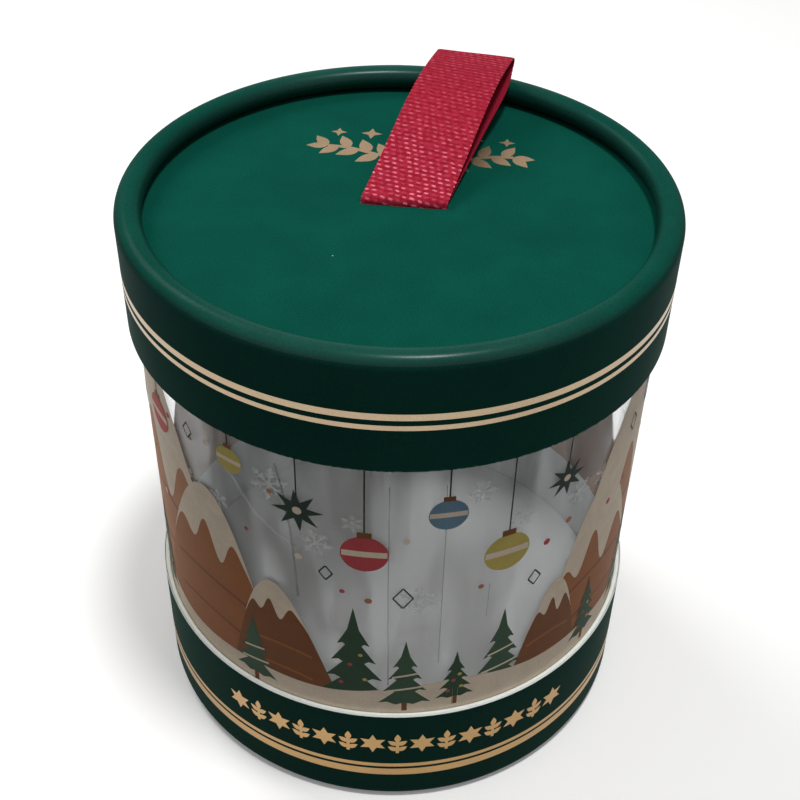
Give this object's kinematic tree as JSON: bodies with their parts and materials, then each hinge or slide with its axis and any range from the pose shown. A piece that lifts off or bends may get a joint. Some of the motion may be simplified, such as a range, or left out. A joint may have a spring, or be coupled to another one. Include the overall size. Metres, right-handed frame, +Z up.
{
  "type": "round gift box with window",
  "caption": "Round paperboard gift box: lift-off lid with rolled rim and ribbon loop, over a clear window tube in a short rolled base.",
  "frame": {"origin": "centre of the box where its base rim stands, at z = 0", "axes": "+Z up along the box's axis, from the base to the lid; -Y is the side that faces the viewer, and the ribbon lies back towards +Y"},
  "size_m": [0.125, 0.125, 0.1478],
  "materials": {
    "white_board": "matt white board, raw at its cut edges",
    "green_wrap": "dark green printed paper, satin, with gold foil lines",
    "green_facing": "green printed paper, satin matt",
    "white_lining": "matt white paper",
    "red_ribbon": "ribbed grosgrain weave",
    "clear_sheet": "clear film, glossy, with a printed winter pattern"
  },
  "bodies": {
    "base": {"base_side_board": "white_board", "base_side_wrap": "green_wrap", "base_underside_paper": "green_facing", "base_disc_board": "white_board", "base_floor_lining": "white_lining", "window_sheet": "clear_sheet"},
    "lid": {"lid_side_board": "white_board", "lid_side_wrap": "green_wrap", "lid_disc_board": "white_board", "lid_disc_facing": "green_facing", "lid_disc_lining": "white_lining", "ribbon_front_tail": "red_ribbon", "ribbon_back_tail": "red_ribbon"},
    "ribbon": {"ribbon_loop": "red_ribbon"}
  },
  "joints": [
    {"name": "lid_lift", "type": "slide", "parent": "base", "child": "lid", "axis": [0, 0, 1], "range_m": [0, 0.06]},
    {"name": "ribbon_swing", "type": "hinge", "parent": "lid", "child": "ribbon", "pos_m": [0.0009, 0.0016, 0.13599], "axis": [0.9957, -0.0924, 0], "range_deg": [0, 162]}
  ]
}
